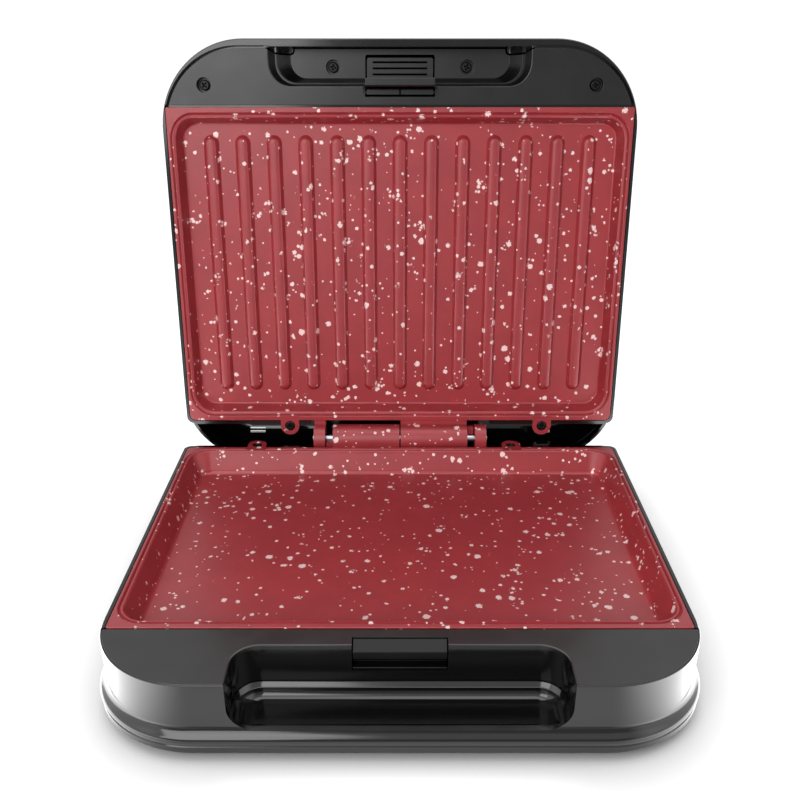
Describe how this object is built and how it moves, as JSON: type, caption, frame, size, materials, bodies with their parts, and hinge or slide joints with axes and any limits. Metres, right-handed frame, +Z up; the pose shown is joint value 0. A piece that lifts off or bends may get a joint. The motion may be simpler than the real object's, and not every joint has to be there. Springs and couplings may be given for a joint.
{
  "type": "contact grill",
  "caption": "Countertop contact grill standing open: a hinged lid with a ribbed plate over a base with a flat tray plate, with a latch lever in the lid's finger pocket.",
  "frame": {"origin": "on the ground under the middle of the open grill's bounding box", "axes": "+Z up, +Y towards the hinge at the rear, the front with the finger recess faces -Y, +X towards the right as seen from the front"},
  "size_m": [0.2876, 0.3108, 0.2794],
  "materials": {
    "housing_plastic": "glossy dark grey moulding",
    "frame_plastic": "satin dark grey moulding",
    "dark_plastic": "matt black moulding",
    "plate_coating": "die-cast aluminium under a red non-stick coating with pale flecks",
    "zinc_steel": "zinc-plated steel",
    "black_steel": "blackened steel",
    "sheath_steel": "heat-tinted steel sheath",
    "shield_sheet": "bare sheet",
    "ceramic": "cream heat-resistant body",
    "foot_rubber": "matt black",
    "red_lens": "clear red, polished",
    "green_lens": "clear green, polished",
    "lamp_glass": "clear"
  },
  "bodies": {
    "base": {"base_housing": "housing_plastic", "base_deck": "frame_plastic", "latch_catch": "frame_plastic", "bottom_cover": "dark_plastic", "lower_plate": "plate_coating", "hinge_pin": "zinc_steel", "lower_heating_element": "sheath_steel", "lower_heat_shield": "shield_sheet", "thermostat": "ceramic", "thermal_fuse": "ceramic", "terminal_block": "ceramic", "cord_gland": "dark_plastic", "foot_1": "foot_rubber", "foot_2": "foot_rubber", "foot_3": "foot_rubber", "foot_4": "foot_rubber", "cover_screw_1": "zinc_steel", "cover_screw_2": "zinc_steel", "cover_screw_3": "zinc_steel", "cover_screw_4": "zinc_steel", "lower_plate_screw_1": "black_steel", "lower_plate_screw_2": "black_steel"},
    "lid": {"lid_shell": "housing_plastic", "lid_frame": "frame_plastic", "upper_plate": "plate_coating", "upper_heating_element": "sheath_steel", "upper_heat_shield": "shield_sheet", "upper_plate_screw_1": "black_steel", "upper_plate_screw_2": "black_steel", "frame_screw_1": "black_steel", "frame_screw_2": "black_steel", "frame_screw_3": "black_steel", "frame_screw_4": "black_steel", "power_lens": "red_lens", "ready_lens": "green_lens", "power_lamp": "lamp_glass", "ready_lamp": "lamp_glass", "latch_pin": "zinc_steel"},
    "latch": {"latch_lever": "frame_plastic", "latch_spring": "zinc_steel"}
  },
  "joints": [
    {"name": "lid_hinge", "type": "hinge", "parent": "base", "child": "lid", "pos_m": [0, 0.0929, 0.041], "axis": [1, 0, 0], "range_deg": [0, 97.08]},
    {"name": "latch_pivot", "type": "hinge", "parent": "lid", "child": "latch", "pos_m": [0, 0.13819, 0.25475], "axis": [-1, 0, 0], "range_deg": [0, 6], "stiffness_Nm_per_rad": 0.3, "springref_deg": -17.19}
  ]
}
